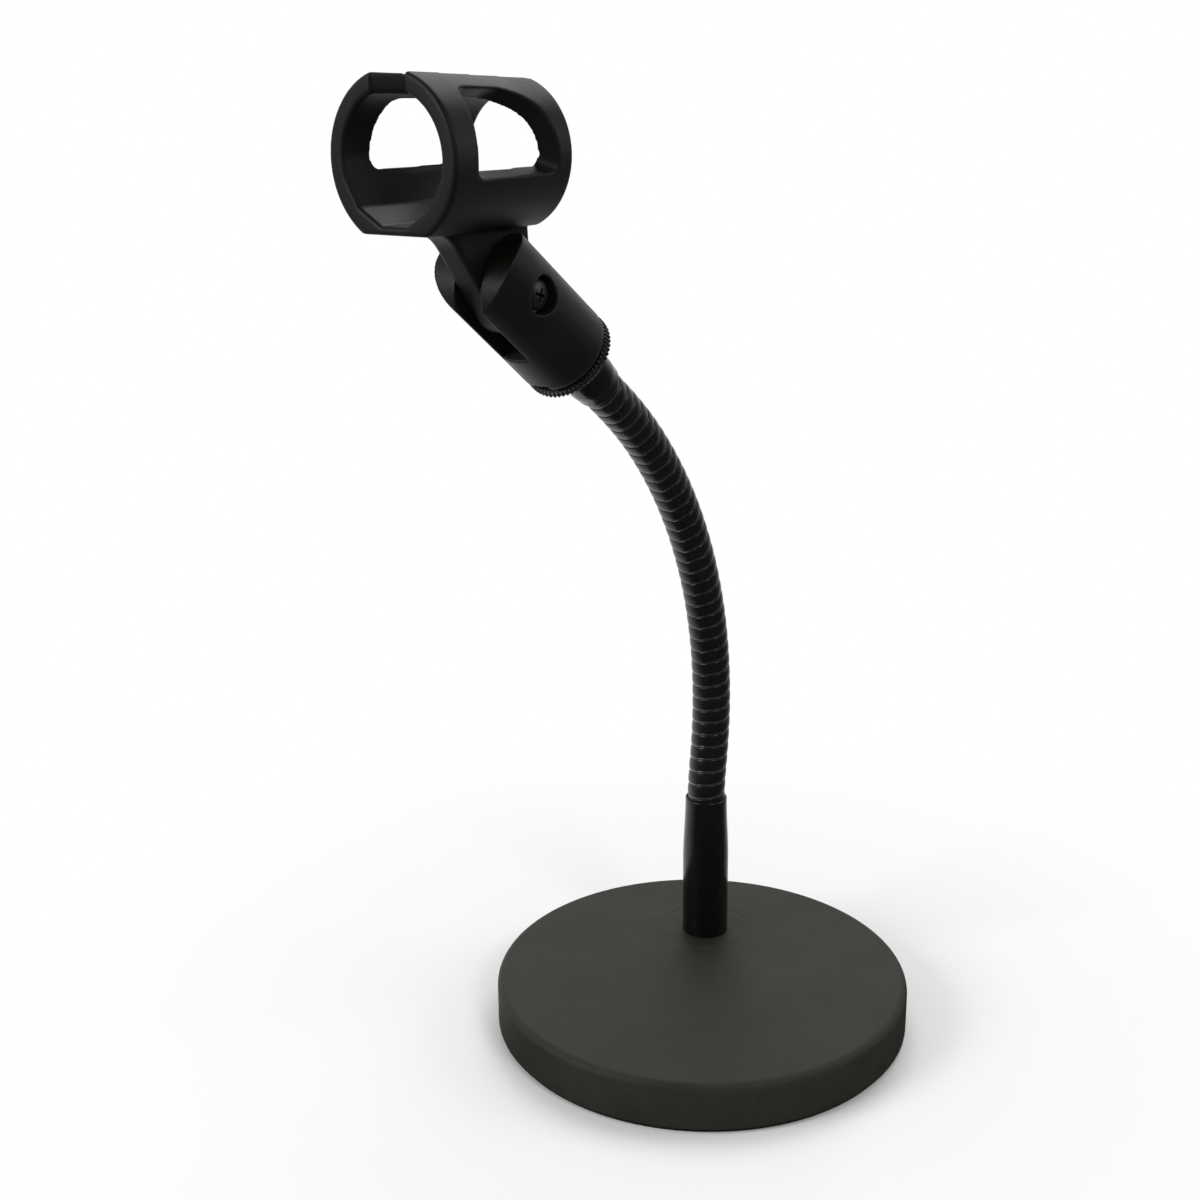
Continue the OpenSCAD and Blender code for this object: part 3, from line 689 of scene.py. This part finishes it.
bm = bmesh.new()
floor_half = 8
bmesh.ops.create_grid(bm, x_segments=1, y_segments=1, size=floor_half)
floor = made(bm, "floor")
paper = bpy.data.materials.new("paper")
paper.use_nodes = True
tree = paper.node_tree
tree.nodes.clear()
spot = add(tree, "TexCoord").outputs["Object"]
away = add(tree, "VectorMath", {0: spot}, operation="LENGTH")
fade = add(tree, "MapRange", {"Value": away.outputs["Value"], "From Min": 0.07, "From Max": 0.25},
           interpolation_type="SMOOTHSTEP")
rays, strength = surround(tree, add(tree, "VectorMath", {0: spot}, operation="NORMALIZE").outputs[0])
far = add(tree, "Math", {0: fade.outputs[0], 1: rays}, operation="MULTIPLY")
in_gloss = add(tree, "LightPath").outputs["Is Glossy Ray"]
far = add(tree, "Math", {0: far.outputs[0], 1: in_gloss}, operation="MAXIMUM")
fibre = add(tree, "TexNoise", {"Vector": spot, "Scale": 900.0, "Detail": 3.0})
pale = add(tree, "MapRange", {"Value": fibre.outputs["Fac"], "To Min": 0.93, "To Max": 0.96})
matt = add(tree, "BsdfDiffuse", {"Color": pale.outputs[0]})
white = add(tree, "Emission", {"Color": (1, 1, 1, 1), "Strength": strength})
mix = add(tree, "MixShader", {0: far.outputs[0], 1: matt.outputs[0], 2: white.outputs[0]})
add(tree, "OutputMaterial", {"Surface": mix.outputs[0]})
floor.data.materials.append(paper)

world = bpy.data.worlds.new("studio")
bpy.context.scene.world = world
world.use_nodes = True
tree = world.node_tree
tree.nodes.clear()
rays, strength = surround(tree, add(tree, "TexCoord").outputs["Generated"])
soft = add(tree, "Background", {"Color": (1, 1, 1, 1), "Strength": 0.35})
white = add(tree, "Background", {"Color": (1, 1, 1, 1), "Strength": strength})
mix = add(tree, "MixShader", {0: rays, 1: soft.outputs[0], 2: white.outputs[0]})
add(tree, "OutputWorld", {"Surface": mix.outputs[0]})


def lamp(name, place, aim, size, power):
    """A square soft lamp that faces a point."""
    data = bpy.data.lights.new(name, "AREA")
    data.shape = "SQUARE"
    data.size = size
    data.energy = power
    light = bpy.data.objects.new(name, data)
    light.location = place
    light.rotation_euler = (Vector(aim) - Vector(place)).to_track_quat("-Z", "Y").to_euler()
    bpy.context.scene.collection.objects.link(light)


lamp("key_lamp", (-0.45, -0.95, 0.6), (0, 0, 0.12), 0.5, 6)
lamp("right_lamp", (0.85, -0.35, 0.85), (0, 0, 0.15), 0.3, 2.5)
lamp("rim_lamp", (0.85, 0.7, 0.6), (0, 0, 0.12), 0.5, 2.5)
lamp("top_lamp", (-0.2, 0.5, 1.1), (0, 0, 0.1), 0.8, 5.5)

camera_at = Vector((0.2633, -0.3903, 0.2848))
look = Vector((-0.5856, 0.7552, -0.2944))
up = Vector((-0.1721, 0.2391, 0.9556))
right = look.cross(up).normalized()
camera = bpy.data.objects.new("camera", bpy.data.cameras.new("camera"))
camera.data.lens = 49.5
camera.data.sensor_width = 36
axes = Matrix((right, up.normalized(), -look.normalized())).transposed()
camera.matrix_world = Matrix.Translation(camera_at) @ axes.to_4x4()
bpy.context.scene.collection.objects.link(camera)
bpy.context.scene.camera = camera
bpy.context.scene.view_settings.view_transform = "Standard"
